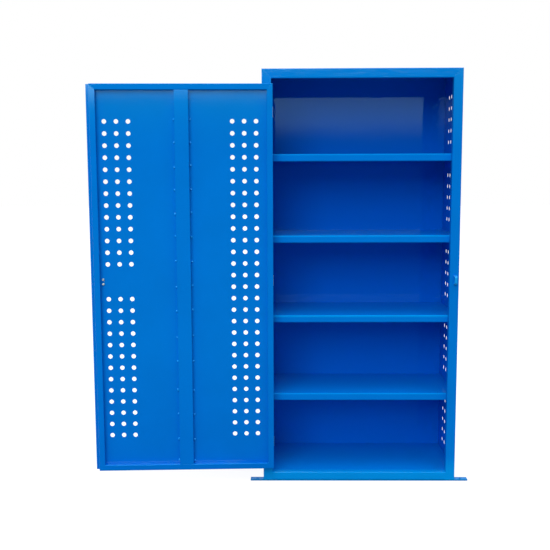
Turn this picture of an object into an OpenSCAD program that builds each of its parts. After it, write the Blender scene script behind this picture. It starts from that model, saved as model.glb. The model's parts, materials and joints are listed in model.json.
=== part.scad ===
// Safety storage cabinet: a welded sheet-steel body with four shelves, vented side walls and one
// perforated door on three butt hinges, closed by a hasp over a padlock staple.
// Millimetres, +Z up. The origin is on the floor, in the middle of the four floor-bolt holes.
// The front of the cabinet faces -Y. The door is drawn closed and then swung open to door_open.

/* [Cabinet] */
// Outside width of the body
cabinet_w = 845; // [700:5:1000]
// Outside depth of the body
cabinet_d = 400; // [350:5:600]
// Height of the floor and of the sill above the ground
floor_top = 40; // [36:1:60]
// Height from one shelf top to the next
shelf_pitch = 349; // [330:1:400]
// Height of the top compartment, from the top shelf to the roof
top_room = 354; // [330:1:400]
// Thickness of the body sheet
sheet_t = 1.5; // [1:0.25:2]

/* [Front frame] */
// Width of the jambs' and the head's front faces
frame_face = 40; // [34:1:50]
// Depth of the front frame
frame_depth = 30; // [28:1:40]
// Outside radius of the frame's folds
frame_bend = 3; // [2.5:0.5:5]

/* [Foot bars] */
// Thickness of a foot bar
foot_t = 6; // [4:1:10]
// Length of a foot bar past each side of the body
foot_reach = 57.5; // [45:0.5:80]
// Diameter of a floor-bolt hole
foot_hole_d = 12; // [8:0.5:14]
// Distance from the body's side to the middle of a floor-bolt hole
foot_hole_out = 27.5; // [15:0.5:35]

/* [Shelves] */
// Height of a shelf's front lip
shelf_lip = 31.5; // [20:0.5:40]
// Gap between the front frame and a shelf's front lip
shelf_setback = 2; // [1:0.5:10]
// Outside radius of the fold along a shelf's front edge
shelf_bend = 4; // [3:0.5:6]
// Width of the hem folded in under the front lip
shelf_hem = 12; // [8:1:20]
// Height of a shelf's side and rear flanges
shelf_flange = 20; // [12:1:20]

/* [Ventilation holes] */
// Diameter of a ventilation hole
vent_d = 19; // [10:1:24]
// Distance from one hole to the next
vent_pitch = 50; // [44:1:52]
// Rows of holes in the door
door_rows = 28; // [20:2:28]
// Rows left out beside the hasp
hasp_rows = 2; // [2:2:4]
// Columns of holes in each of the door's two fields
door_cols = 3; // [1:1:3]
// Distance from the door's hinge edge to the nearest column
door_col_hinge = 69.5; // [60:0.5:80]
// Distance from the door's free edge to the nearest column
door_col_lock = 72.5; // [60:0.5:80]
// Rows of holes in a side wall, in each compartment
side_rows = 5; // [1:1:5]
// Columns of holes in a side wall
side_cols = 5; // [1:1:5]
// Distance from the back to the rearmost column of holes in a side wall
side_col_back = 105; // [60:1:110]
// Height of the lowest row above each shelf
side_first_row = 56; // [40:1:60]

/* [Door] */
// How far the door stands open
door_open = 177.5; // [0:0.5:190]
// Gap between the sill and the door
door_gap_low = 29; // [10:0.5:60]
// Gap between the door and the head
door_gap_high = 25; // [10:0.5:60]
// Gap between the hinge jamb and the door
hinge_gap = 2.3; // [2.1:0.1:4]
// Gap between the lock jamb and the door's tube frame
lock_gap = 2; // [1.8:0.1:6]
// Width of the skin that laps over the lock jamb
door_lap = 16; // [8:0.5:18]
// Gap between the door skin and the front frame
skin_gap = 0.5; // [0.3:0.1:2]
// Thickness of the door skin
skin_t = 1.5; // [1:0.25:2.5]
// Outside size of the door's square tube
tube_a = 25; // [20:1:28]
// Wall of the door's tube and of its stiffener
tube_t = 1.5; // [1:0.25:2]
// Outside corner radius of the tube and of the stiffener
tube_bend = 2.5; // [2:0.5:4]
// Width of the vertical stiffener
stiffener_w = 60; // [40:1:80]

/* [Door hinges] */
// Height of a hinge
hinge_h = 45; // [36:1:80]
// Distance from the door's end to the middle of the nearest hinge
hinge_end = 115; // [60:1:200]
// Outside radius of a hinge knuckle
knuckle_r = 4; // [3.75:0.25:5]
// Radius of a hinge pin
hinge_pin_r = 2; // [1.5:0.1:2.1]
// Thickness of a hinge leaf
leaf_t = 1.5; // [1:0.1:1.5]
// Width of the leaf on the jamb, behind the frame's front face
jamb_leaf_w = 22; // [16:1:26]
// Width of the leaf on the door skin
door_leaf_w = 24; // [16:1:34]
// Distance from the door's hinge edge to the screws of its leaves
door_screw_in = 15.5; // [14:0.5:16]
// Radius of a hinge screw
screw_r = 2; // [1.5:0.1:2.2]
// Distance between the two screws of a leaf
screw_pitch = 30; // [18:1:32]

/* [Padlock staple] */
// Width of the staple's flat bar
staple_w = 11; // [8:0.5:11]
// Thickness of the staple's flat bar
staple_t = 5; // [3:0.5:6]
// Height of the staple
staple_h = 37; // [30:1:44]
// Reach of the staple in front of the jamb
staple_out = 25; // [18:1:26]
// Outside radius of the staple's bends
staple_bend = 10; // [7:0.5:12]
// Gap between the closed door's edge and the staple
staple_gap = 3; // [1:0.5:5]

/* [Hasp] */
// Height of the hasp
hasp_h = 60; // [54:1:80]
// Thickness of the hasp's plates
hasp_t = 2.5; // [2:0.25:3]
// Width of the hasp's fixed plate
hasp_base_w = 29; // [24:1:40]
// Outside radius of the hasp's knuckle
hasp_knuckle_r = 4; // [3.75:0.25:5]
// Radius of the hasp's pin
hasp_pin_r = 2.5; // [1.5:0.1:2.5]
// Distance from the hasp's bolts to its pin
hasp_pin_off = 22; // [18:0.5:24]
// Distance from the lock stile's inner edge to the hasp's bolts
hasp_bolt_in = 10.5; // [7:0.5:20]
// Distance between the hasp's two bolts
hasp_bolt_pitch = 20; // [16:1:36]
// Radius of a hasp bolt
hasp_bolt_r = 3; // [2:0.25:3.5]
// Metal left between the strap's slot and its free end
strap_end = 6; // [4:0.5:7]
// How far the strap is swung from its closed place over the staple
strap_swing = 180; // [0:1:180]

/* [Hidden] */
$fn = 48;
// One compartment more than there are shelves in NODES
compartments = 5;
// Small overlap that joins two pieces of one solid
joint_lap = 0.5;
// Radial running gap of a pin in its knuckle
pin_gap = 0.05;
// Gap between two neighbouring knuckles
knuckle_gap = 0.3;
// Gap between a knuckle and what turns past it
swing_gap = 0.3;
// Gap round a plate's cut-back edge at a knuckle
cutback = 0.8;
// Radial gap of a bolt or screw in its hole
bolt_gap = 0.2;
// Gap round the staple in the strap's slot
slot_gap = 1.2;
// Gap above and below the staple in the strap's slot
slot_side_gap = 2;
// Corner radius of the strap's slot
slot_r = 3;
// Corner radius of the strap's free end
strap_corner_r = 8;
// Gap between the hasp's knuckle and the door skin
hasp_lift = 1;
// Thickness of a pin's head
pin_head_t = 1.2;
// Reach of a tool past the piece that it cuts
over = 1;

cabinet_h = floor_top + (compartments - 1) * shelf_pitch + top_room;
left = -cabinet_w / 2;
right = cabinet_w / 2;
front = -cabinet_d / 2;
back = cabinet_d / 2;
frame_back = front + frame_depth;
opening_top = cabinet_h - frame_face;
inner_w = cabinet_w - 2 * sheet_t;
inner_back = back - sheet_t;

// A foot bar is as wide as the front frame is deep
foot_w = frame_depth;
foot_len = cabinet_w + 2 * foot_reach;
foot_hole_x = cabinet_w / 2 + foot_hole_out;
foot_hole_y = cabinet_d / 2 - foot_w / 2;

shelf_front = frame_back + shelf_setback;

door_z0 = floor_top + door_gap_low;
door_z1 = opening_top - door_gap_high;
door_h = door_z1 - door_z0;
door_mid = (door_z0 + door_z1) / 2;
door_x0 = left + frame_face + hinge_gap;
rim_x1 = right - frame_face - lock_gap;
rim_w = rim_x1 - door_x0;
skin_x1 = rim_x1 + door_lap;
skin_w = skin_x1 - door_x0;
skin_back = front - skin_gap;
skin_front = skin_back - skin_t;
rim_back = skin_back + tube_a;
stiffener_x0 = door_x0 + (rim_w - stiffener_w) / 2;
stiffener_z0 = door_z0 + tube_a;
stiffener_h = door_h - 2 * tube_a;

// The hinge axis: the jamb leaf lies along the jamb's inner face, tangent to the knuckle
pivot_x = left + frame_face + knuckle_r;
pivot_y = skin_front - knuckle_r - swing_gap;
hinge_z = [door_z0 + hinge_end, door_mid, door_z1 - hinge_end];
knuckle_h = (hinge_h - 2 * knuckle_gap) / 3;
// Places of the lowest knuckle, the middle one and the top one above a hinge's lower end
knuckle_z = [for (i = [0:2]) i * (knuckle_h + knuckle_gap)];
screw_head_r = 1.9 * screw_r;
jamb_leaf_x = left + frame_face;
jamb_leaf_y1 = front + jamb_leaf_w;
jamb_screw_y = front + jamb_leaf_w / 2;
door_leaf_x0 = pivot_x + knuckle_r + cutback;
door_screw_x = door_x0 + door_screw_in;

staple_x0 = skin_x1 + staple_gap;
staple_z0 = door_mid - staple_h / 2;

hasp_bolt_x = rim_x1 - tube_a - hasp_bolt_in;
hasp_bolt_z = [door_mid - hasp_bolt_pitch / 2, door_mid + hasp_bolt_pitch / 2];
hasp_pin_x = hasp_bolt_x + hasp_pin_off;
hasp_pin_y = skin_front - hasp_knuckle_r - hasp_lift;
hasp_z0 = door_mid - hasp_h / 2;
hasp_base_x1 = hasp_pin_x - hasp_knuckle_r - cutback;
hasp_base_x0 = hasp_base_x1 - hasp_base_w;
// The hasp's outer knuckles are a quarter of its height, the strap's is the rest
hasp_outer_h = hasp_h / 4;
hasp_mid_h = hasp_h - 2 * hasp_outer_h - 2 * knuckle_gap;
// The slot clears the staple's nose while the strap swings over it
staple_reach_x = staple_x0 + staple_w - hasp_pin_x;
staple_reach_y = hasp_pin_y - (front - staple_out);
slot_x0 = staple_x0 - hasp_pin_x - slot_gap;
slot_x1 = sqrt(pow(staple_reach_x, 2) + pow(staple_reach_y, 2)) + slot_gap;
slot_h = staple_h + 2 * slot_side_gap;
strap_len = slot_x1 + strap_end;
bolt_head_r = 2.2 * hasp_bolt_r;
bolt_head_h = 0.9 * hasp_bolt_r;
nut_r = 1.92 * hasp_bolt_r;
nut_h = 1.6 * hasp_bolt_r;
bolt_tail = hasp_bolt_r;

frame_blue = [0.02, 0.44, 0.80];
door_blue = [0.02, 0.40, 0.78];
shelf_blue = [0.02, 0.36, 0.74];
zinc = [0.66, 0.68, 0.70];
steel = [0.55, 0.56, 0.58];

// Rectangle with all four corners rounded, from the origin to [w, h]
module round_rect(w, h, r) {
    translate([r, 0]) square([w - 2 * r, h]);
    translate([0, r]) square([w, h - 2 * r]);
    for (x = [r, w - r], y = [r, h - r]) translate([x, y]) circle(r);
}

// Rectangle whose two corners on the X axis are rounded
module front_round_rect(w, h, r) {
    translate([r, 0]) square([w - 2 * r, h]);
    translate([0, r]) square([w, h - r]);
    for (x = [r, w - r]) translate([x, r]) circle(r);
}

// Section of a folded channel: its web on the X axis, its two flanges towards +Y
module channel_section(w, d, t, r) {
    difference() {
        front_round_rect(w, d, r);
        translate([t, t]) front_round_rect(w - 2 * t, d, r - t / 2);
    }
}

// Section of a square or rectangular tube
module tube_section(w, d, t, r) {
    difference() {
        round_rect(w, d, r);
        translate([t, t]) round_rect(w - 2 * t, d - 2 * t, r - t / 2);
    }
}

// Upright prism that cuts a mitre: a polygon in X and Z, through the depth y0 to y1
module mitre_cut(points, y0, y1) {
    translate([0, y1, 0]) rotate([90, 0, 0]) linear_extrude(y1 - y0) polygon(points);
}

// Swings what is drawn for the closed door to where the door stands
module on_door() {
    translate([pivot_x, pivot_y, 0]) rotate([0, 0, -door_open]) translate([-pivot_x, -pivot_y, 0]) children();
}

// Turns what is drawn for the closed strap about the hasp's pin
module on_strap() {
    translate([hasp_pin_x, hasp_pin_y, 0]) rotate([0, 0, -strap_swing])
        translate([-hasp_pin_x, -hasp_pin_y, 0]) children();
}

// Left jamb: a folded channel with its inner flange drilled for the hinge screws
module jamb_left() {
    inner = left + frame_face;
    difference() {
        translate([left, front, foot_t])
            linear_extrude(cabinet_h - foot_t) channel_section(frame_face, frame_depth, sheet_t, frame_bend);
        mitre_cut([[left - over, cabinet_h + over], [inner + over, cabinet_h + over],
            [inner + over, opening_top - over]], front - over, frame_back + over);
        for (z = hinge_z, dz = [-screw_pitch / 2, screw_pitch / 2])
            translate([inner - sheet_t - over, jamb_screw_y, z + dz])
                rotate([0, 90, 0]) cylinder(r = screw_r + bolt_gap, h = sheet_t + 2 * over);
    }
}

// Right jamb: the same channel, without hinges
module jamb_right() {
    inner = right - frame_face;
    difference() {
        translate([inner, front, foot_t])
            linear_extrude(cabinet_h - foot_t) channel_section(frame_face, frame_depth, sheet_t, frame_bend);
        mitre_cut([[right + over, cabinet_h + over], [inner - over, cabinet_h + over],
            [inner - over, opening_top - over]], front - over, frame_back + over);
    }
}

module front_jamb_left() {
    color(frame_blue) jamb_left();
}

module front_jamb_right() {
    color(frame_blue) jamb_right();
}

// Head: a channel mitred to both jambs
module front_head() {
    color(frame_blue) difference() {
        translate([left, front, cabinet_h]) rotate([0, 90, 0])
            linear_extrude(cabinet_w) channel_section(frame_face, frame_depth, sheet_t, frame_bend);
        mitre_cut([[left - over, cabinet_h + over], [left - over, opening_top - over],
            [left + frame_face + over, opening_top - over]], front - over, frame_back + over);
        mitre_cut([[right + over, cabinet_h + over], [right + over, opening_top - over],
            [right - frame_face - over, opening_top - over]], front - over, frame_back + over);
    }
}

// Sill: a channel between the jambs, level with the floor
module front_sill() {
    color(frame_blue) translate([left + frame_face, front, floor_top]) rotate([0, 90, 0])
        linear_extrude(cabinet_w - 2 * frame_face)
            channel_section(floor_top - foot_t, frame_depth, sheet_t, frame_bend);
}

// Side wall in Y and Z, with a field of holes in each compartment
module side_sheet() {
    depth = inner_back - frame_back;
    last_col = depth + sheet_t - side_col_back;
    difference() {
        square([depth, cabinet_h - foot_t]);
        for (k = [0:compartments - 1], r = [0:side_rows - 1], c = [0:side_cols - 1])
            translate([last_col - c * vent_pitch,
                floor_top + k * shelf_pitch + side_first_row + r * vent_pitch - foot_t])
                circle(d = vent_d);
    }
}

module side_panel(x) {
    color(frame_blue) translate([x, frame_back, foot_t]) rotate([90, 0, 90])
        linear_extrude(sheet_t) side_sheet();
}

module side_panel_left() {
    side_panel(left);
}

module side_panel_right() {
    side_panel(right - sheet_t);
}

module back_panel() {
    color(frame_blue) translate([left, inner_back, foot_t]) cube([cabinet_w, sheet_t, cabinet_h - foot_t]);
}

module roof_panel() {
    color(frame_blue) translate([left + sheet_t, frame_back, cabinet_h - sheet_t])
        cube([inner_w, inner_back - frame_back, sheet_t]);
}

// Floor: a tray whose flanges reach down to the rear foot bar
module floor_panel() {
    depth = inner_back - frame_back;
    flange = floor_top - foot_t;
    color(shelf_blue) translate([left + sheet_t, frame_back, 0]) {
        translate([0, 0, floor_top - sheet_t]) cube([inner_w, depth, sheet_t]);
        translate([0, depth - sheet_t, foot_t]) cube([inner_w, sheet_t, flange - sheet_t / 2]);
        for (x = [0, inner_w - sheet_t])
            translate([x, 0, foot_t]) cube([sheet_t, depth - sheet_t / 2, flange - sheet_t / 2]);
    }
}

// A foot bar with its two floor-bolt holes
module foot_bar(y) {
    color(frame_blue) difference() {
        translate([-foot_len / 2, y - foot_w / 2, 0]) cube([foot_len, foot_w, foot_t]);
        for (x = [-foot_hole_x, foot_hole_x])
            translate([x, y, -over]) cylinder(d = foot_hole_d, h = foot_t + 2 * over);
    }
}

module front_foot_bar() {
    foot_bar(-foot_hole_y);
}

module rear_foot_bar() {
    foot_bar(foot_hole_y);
}

// Side view of a shelf: front lip with a hem folded in below it, top, rear flange
module shelf_profile(depth) {
    difference() {
        union() {
            translate([shelf_bend, -shelf_lip]) square([depth - shelf_bend, shelf_lip]);
            translate([0, shelf_bend - shelf_lip]) square([depth, shelf_lip - 2 * shelf_bend]);
            for (z = [-shelf_bend, shelf_bend - shelf_lip]) translate([shelf_bend, z]) circle(shelf_bend);
        }
        translate([sheet_t, sheet_t - shelf_lip])
            front_bend_void(depth - 2 * sheet_t, shelf_lip - 2 * sheet_t, shelf_bend - sheet_t);
        translate([shelf_hem, -shelf_lip - over]) square([depth, shelf_lip - shelf_flange + over]);
    }
}

// Hollow of a shelf's side view, rounded behind the front lip
module front_bend_void(w, h, r) {
    translate([r, 0]) square([w - r, h]);
    translate([0, r]) square([w, h - 2 * r]);
    for (z = [r, h - r]) translate([r, z]) circle(r);
}

// A folded shelf, number 1 at the top
module shelf(number) {
    top = floor_top + (compartments - number) * shelf_pitch;
    depth = inner_back - shelf_front;
    color(shelf_blue) translate([left + sheet_t, shelf_front, top]) {
        rotate([90, 0, 90]) linear_extrude(inner_w) shelf_profile(depth);
        for (x = [0, inner_w - sheet_t])
            translate([x, shelf_hem, -shelf_flange])
                cube([sheet_t, depth - shelf_hem - sheet_t / 2, shelf_flange - sheet_t / 2]);
    }
}

module shelf_1() {
    shelf(1);
}

module shelf_2() {
    shelf(2);
}

module shelf_3() {
    shelf(3);
}

module shelf_4() {
    shelf(4);
}

// Padlock staple: a flat bar bent to a loop in Y and Z, welded to the lock jamb
module padlock_staple() {
    color(frame_blue) translate([staple_x0, front, staple_z0]) rotate([90, 0, 90])
        linear_extrude(staple_w) mirror([1, 0]) difference() {
            loop_outline(staple_out, staple_h, staple_bend);
            translate([-over, staple_t])
                loop_outline(staple_out - staple_t + over, staple_h - 2 * staple_t, staple_bend - staple_t);
        }
}

// Outline of a loop that reaches w along X, with its two far corners rounded
module loop_outline(w, h, r) {
    square([w - r, h]);
    translate([0, r]) square([w, h - 2 * r]);
    for (z = [r, h - r]) translate([w - r, z]) circle(r);
}

// Hinge leaf on the jamb: a flat plate with the outer two knuckles
module jamb_leaf(z) {
    plate_y0 = pivot_y + knuckle_r + cutback;
    color(zinc) translate([0, 0, z - hinge_h / 2]) difference() {
        union() {
            translate([jamb_leaf_x, plate_y0, 0]) cube([leaf_t, jamb_leaf_y1 - plate_y0, hinge_h]);
            for (k = [0, 2]) translate([0, 0, knuckle_z[k]]) {
                translate([jamb_leaf_x, pivot_y, 0])
                    cube([leaf_t, plate_y0 - pivot_y + joint_lap, knuckle_h]);
                translate([pivot_x, pivot_y, 0]) cylinder(r = knuckle_r, h = knuckle_h);
            }
        }
        translate([pivot_x, pivot_y, -over]) cylinder(r = hinge_pin_r + pin_gap, h = hinge_h + 2 * over);
        for (dz = [-screw_pitch / 2, screw_pitch / 2])
            translate([jamb_leaf_x, jamb_screw_y, hinge_h / 2 + dz]) rotate([0, 90, 0]) screw_hole();
    }
}

// Countersunk hole through a leaf, its wide end at the leaf's free face
module screw_hole() {
    translate([0, 0, -over]) cylinder(r = screw_r + bolt_gap, h = leaf_t + 2 * over);
    cylinder(r1 = screw_r + bolt_gap, r2 = screw_head_r + bolt_gap, h = leaf_t + 0.01);
}

// Countersunk screw seated in a leaf, its shank through the sheet behind
module screw(shank) {
    translate([0, 0, -shank]) cylinder(r = screw_r, h = shank + leaf_t / 2);
    cylinder(r1 = screw_r, r2 = screw_head_r, h = leaf_t);
}

module jamb_leaf_lower() {
    jamb_leaf(hinge_z[0]);
}

module jamb_leaf_middle() {
    jamb_leaf(hinge_z[1]);
}

module jamb_leaf_upper() {
    jamb_leaf(hinge_z[2]);
}

module jamb_leaf_screws() {
    color(zinc) for (z = hinge_z, dz = [-screw_pitch / 2, screw_pitch / 2])
        translate([jamb_leaf_x, jamb_screw_y, z + dz]) rotate([0, 90, 0]) screw(3 * sheet_t);
}

// Hinge pin with a head above and below the knuckles
module hinge_pin(z) {
    color(steel) translate([pivot_x, pivot_y, z - hinge_h / 2]) {
        translate([0, 0, -pin_head_t]) cylinder(r = hinge_pin_r, h = hinge_h + 2 * pin_head_t);
        for (end = [-pin_head_t, hinge_h]) translate([0, 0, end])
            cylinder(r = hinge_pin_r + 1, h = pin_head_t);
    }
}

module hinge_pin_lower() {
    hinge_pin(hinge_z[0]);
}

module hinge_pin_middle() {
    hinge_pin(hinge_z[1]);
}

module hinge_pin_upper() {
    hinge_pin(hinge_z[2]);
}

// Columns of the door's holes, from the hinge edge and from the free edge
function door_columns() = [
    for (c = [0:door_cols - 1]) door_col_hinge + c * vent_pitch,
    for (c = [0:door_cols - 1]) skin_w - door_col_lock - c * vent_pitch
];

// Rows that a column of holes keeps: the ones beside the hasp are left out
function kept_rows(col) = [
    for (r = [0:door_rows - 1])
        if (col < door_cols || abs(r - (door_rows - 1) / 2) > hasp_rows / 2) r
];

// Door skin: one sheet with two fields of ventilation holes and the holes of its fasteners
module door_skin() {
    first_row = door_h / 2 - (door_rows - 1) * vent_pitch / 2;
    columns = door_columns();
    color(door_blue) on_door() translate([door_x0, skin_back, door_z0]) rotate([90, 0, 0])
        linear_extrude(skin_t) difference() {
            square([skin_w, door_h]);
            for (c = [0:2 * door_cols - 1], r = kept_rows(c))
                translate([columns[c], first_row + r * vent_pitch]) circle(d = vent_d);
            for (z = hasp_bolt_z) translate([hasp_bolt_x - door_x0, z - door_z0])
                circle(hasp_bolt_r + bolt_gap);
            for (z = hinge_z, dz = [-screw_pitch / 2, screw_pitch / 2])
                translate([door_screw_x - door_x0, z + dz - door_z0]) circle(screw_r + bolt_gap);
        }
}

// Upright of the door's tube frame, mitred at both ends; side is 1 at the hinges and -1 at the lock
module stile(x_out, side) {
    x_in = x_out + side * tube_a;
    past = side * over;
    difference() {
        translate([min(x_out, x_in), skin_back, door_z0])
            linear_extrude(door_h) tube_section(tube_a, tube_a, tube_t, tube_bend);
        mitre_cut([[x_out - past, door_z1 + over], [x_in + past, door_z1 + over],
            [x_in + past, door_z1 - tube_a - over]], skin_back - over, rim_back + over);
        mitre_cut([[x_out - past, door_z0 - over], [x_in + past, door_z0 - over],
            [x_in + past, door_z0 + tube_a + over]], skin_back - over, rim_back + over);
    }
}

// Hinge stile, drilled where the hinge screws enter it
module door_hinge_stile() {
    color(door_blue) on_door() difference() {
        stile(door_x0, 1);
        for (z = hinge_z, dz = [-screw_pitch / 2, screw_pitch / 2])
            translate([door_screw_x, skin_back + tube_t + over, z + dz]) rotate([90, 0, 0])
                cylinder(r = screw_r + bolt_gap, h = tube_t + 2 * over);
    }
}

module door_lock_stile() {
    color(door_blue) on_door() stile(rim_x1, -1);
}

// Rail of the door's tube frame, mitred at both ends; side is 1 at the top and -1 at the bottom
module rail(z_out, side) {
    z_in = z_out - side * tube_a;
    past = side * over;
    difference() {
        translate([door_x0, skin_back, max(z_out, z_in)]) rotate([0, 90, 0])
            linear_extrude(rim_w) tube_section(tube_a, tube_a, tube_t, tube_bend);
        mitre_cut([[door_x0 - over, z_out + past], [door_x0 - over, z_in - past],
            [door_x0 + tube_a + over, z_in - past]], skin_back - over, rim_back + over);
        mitre_cut([[rim_x1 + over, z_out + past], [rim_x1 + over, z_in - past],
            [rim_x1 - tube_a - over, z_in - past]], skin_back - over, rim_back + over);
    }
}

module door_top_rail() {
    color(door_blue) on_door() rail(door_z1, 1);
}

module door_bottom_rail() {
    color(door_blue) on_door() rail(door_z0, -1);
}

// Stiffener: a folded channel whose two flanges are tacked to the skin
module door_stiffener() {
    color(door_blue) on_door() translate([stiffener_x0 + stiffener_w, rim_back, stiffener_z0])
        rotate([0, 0, 180]) linear_extrude(stiffener_h)
            channel_section(stiffener_w, tube_a, tube_t, tube_bend);
}

// Hinge leaf on the door skin: a flat plate with the middle knuckle
module door_leaf(z) {
    color(zinc) on_door() translate([0, 0, z - hinge_h / 2]) difference() {
        union() {
            translate([door_leaf_x0, skin_front - leaf_t, 0]) cube([door_leaf_w, leaf_t, hinge_h]);
            translate([0, 0, knuckle_z[1]]) {
                translate([pivot_x, skin_front - leaf_t, 0])
                    cube([door_leaf_x0 - pivot_x + joint_lap, leaf_t, knuckle_h]);
                translate([pivot_x, pivot_y, 0]) cylinder(r = knuckle_r, h = knuckle_h);
            }
        }
        translate([pivot_x, pivot_y, -over]) cylinder(r = hinge_pin_r + pin_gap, h = hinge_h + 2 * over);
        for (dz = [-screw_pitch / 2, screw_pitch / 2])
            translate([door_screw_x, skin_front, hinge_h / 2 + dz]) rotate([90, 0, 0]) screw_hole();
    }
}

module door_leaf_lower() {
    door_leaf(hinge_z[0]);
}

module door_leaf_middle() {
    door_leaf(hinge_z[1]);
}

module door_leaf_upper() {
    door_leaf(hinge_z[2]);
}

module door_leaf_screws() {
    color(zinc) on_door() for (z = hinge_z, dz = [-screw_pitch / 2, screw_pitch / 2])
        translate([door_screw_x, skin_front, z + dz]) rotate([90, 0, 0]) screw(skin_t + 2 * tube_t);
}

// Fixed plate of the hasp with its upper and lower knuckles
module hasp_base() {
    color(zinc) on_door() translate([0, 0, hasp_z0]) difference() {
        union() {
            translate([hasp_base_x0, skin_front, 0]) rotate([90, 0, 0])
                linear_extrude(hasp_t) square([hasp_base_w, hasp_h]);
            for (z = [0, hasp_h - hasp_outer_h]) translate([0, 0, z]) {
                translate([hasp_base_x1 - joint_lap, skin_front - hasp_t, 0])
                    cube([hasp_pin_x - hasp_base_x1 + joint_lap, hasp_t, hasp_outer_h]);
                translate([hasp_pin_x, hasp_pin_y, 0]) cylinder(r = hasp_knuckle_r, h = hasp_outer_h);
            }
        }
        translate([hasp_pin_x, hasp_pin_y, -over])
            cylinder(r = hasp_pin_r + pin_gap, h = hasp_h + 2 * over);
        for (z = hasp_bolt_z) translate([hasp_bolt_x, skin_front + over, z - hasp_z0])
            rotate([90, 0, 0]) cylinder(r = hasp_bolt_r + bolt_gap, h = hasp_t + 2 * over);
    }
}

// Hasp pin with a head above and below the knuckles
module hasp_pin() {
    color(steel) on_door() translate([hasp_pin_x, hasp_pin_y, hasp_z0]) {
        translate([0, 0, -pin_head_t]) cylinder(r = hasp_pin_r, h = hasp_h + 2 * pin_head_t);
        for (end = [-pin_head_t, hasp_h]) translate([0, 0, end])
            cylinder(r = hasp_pin_r + 1, h = pin_head_t);
    }
}

// Two bolts through the hasp's fixed plate and the skin, heads outside
module hasp_bolts() {
    shank = hasp_t + skin_t + nut_h + bolt_tail;
    color(zinc) on_door() for (z = hasp_bolt_z)
        translate([hasp_bolt_x, skin_front - hasp_t, z]) {
            rotate([-90, 0, 0]) translate([0, 0, -bolt_head_h / 2])
                cylinder(r = hasp_bolt_r, h = shank + bolt_head_h / 2);
            rotate([90, 0, 0]) cylinder(r1 = bolt_head_r, r2 = 0.7 * bolt_head_r, h = bolt_head_h);
        }
}

// Hexagon nuts on the bolts, against the inside of the skin
module hasp_nuts() {
    color(zinc) on_door() for (z = hasp_bolt_z)
        translate([hasp_bolt_x, skin_back, z]) rotate([-90, 0, 0]) difference() {
            cylinder(r = nut_r, h = nut_h, $fn = 6);
            translate([0, 0, -over]) cylinder(r = hasp_bolt_r + pin_gap, h = nut_h + 2 * over);
        }
}

// Strap in its own plane: X from the pin, Y up from its lower end
module strap_outline() {
    x0 = hasp_knuckle_r + cutback;
    difference() {
        union() {
            translate([x0, 0]) square([strap_len - strap_corner_r - x0, hasp_h]);
            translate([x0, strap_corner_r])
                square([strap_len - x0, hasp_h - 2 * strap_corner_r]);
            for (y = [strap_corner_r, hasp_h - strap_corner_r])
                translate([strap_len - strap_corner_r, y]) circle(strap_corner_r);
        }
        translate([slot_x0, (hasp_h - slot_h) / 2]) round_rect(slot_x1 - slot_x0, slot_h, slot_r);
    }
}

// Hasp strap: the swinging plate with its slot for the staple and its middle knuckle
module hasp_strap() {
    strap_y = skin_front - swing_gap;
    knuckle_z0 = hasp_outer_h + knuckle_gap;
    color(zinc) on_door() on_strap() translate([0, 0, hasp_z0]) difference() {
        union() {
            translate([hasp_pin_x, strap_y, 0]) rotate([90, 0, 0]) linear_extrude(hasp_t) strap_outline();
            translate([hasp_pin_x, strap_y - hasp_t, knuckle_z0])
                cube([hasp_knuckle_r + cutback + joint_lap, hasp_t, hasp_mid_h]);
            translate([hasp_pin_x, hasp_pin_y, knuckle_z0]) cylinder(r = hasp_knuckle_r, h = hasp_mid_h);
        }
        translate([hasp_pin_x, hasp_pin_y, -over])
            cylinder(r = hasp_pin_r + pin_gap, h = hasp_h + 2 * over);
    }
}

front_jamb_left();
front_jamb_right();
front_head();
front_sill();
side_panel_left();
side_panel_right();
back_panel();
roof_panel();
floor_panel();
front_foot_bar();
rear_foot_bar();
shelf_1();
shelf_2();
shelf_3();
shelf_4();
padlock_staple();
jamb_leaf_lower();
jamb_leaf_middle();
jamb_leaf_upper();
hinge_pin_lower();
hinge_pin_middle();
hinge_pin_upper();
jamb_leaf_screws();
door_skin();
door_top_rail();
door_bottom_rail();
door_hinge_stile();
door_lock_stile();
door_stiffener();
door_leaf_lower();
door_leaf_middle();
door_leaf_upper();
door_leaf_screws();
hasp_base();
hasp_pin();
hasp_bolts();
hasp_nuts();
hasp_strap();
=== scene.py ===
# Blue safety storage cabinet: powder coat, zinc hardware, welds, screws, light and camera
import json
import math
import random

import bmesh
import bpy
from mathutils import Matrix, Vector, noise


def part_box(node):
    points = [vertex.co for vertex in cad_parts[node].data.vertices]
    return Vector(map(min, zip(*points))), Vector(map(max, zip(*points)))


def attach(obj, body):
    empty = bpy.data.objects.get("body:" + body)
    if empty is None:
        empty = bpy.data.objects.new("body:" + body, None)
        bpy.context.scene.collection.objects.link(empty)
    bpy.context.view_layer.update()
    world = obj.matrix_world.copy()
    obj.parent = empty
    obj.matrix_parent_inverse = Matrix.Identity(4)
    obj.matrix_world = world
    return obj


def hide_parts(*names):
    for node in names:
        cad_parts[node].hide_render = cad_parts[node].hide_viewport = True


mm = 0.001

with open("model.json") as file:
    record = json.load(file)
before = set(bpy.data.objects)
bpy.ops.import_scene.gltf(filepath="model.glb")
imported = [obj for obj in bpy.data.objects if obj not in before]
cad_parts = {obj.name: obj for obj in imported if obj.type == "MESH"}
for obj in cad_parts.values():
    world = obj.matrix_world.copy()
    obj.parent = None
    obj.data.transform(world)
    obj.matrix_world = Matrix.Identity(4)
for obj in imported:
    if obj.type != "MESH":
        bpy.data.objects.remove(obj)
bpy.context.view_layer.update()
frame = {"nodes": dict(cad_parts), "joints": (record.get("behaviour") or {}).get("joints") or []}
nodes = frame["nodes"]
hinge = next(j for j in frame["joints"] if j["name"] == "door_hinge")
print("frame loaded,", len(nodes), "nodes")


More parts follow.
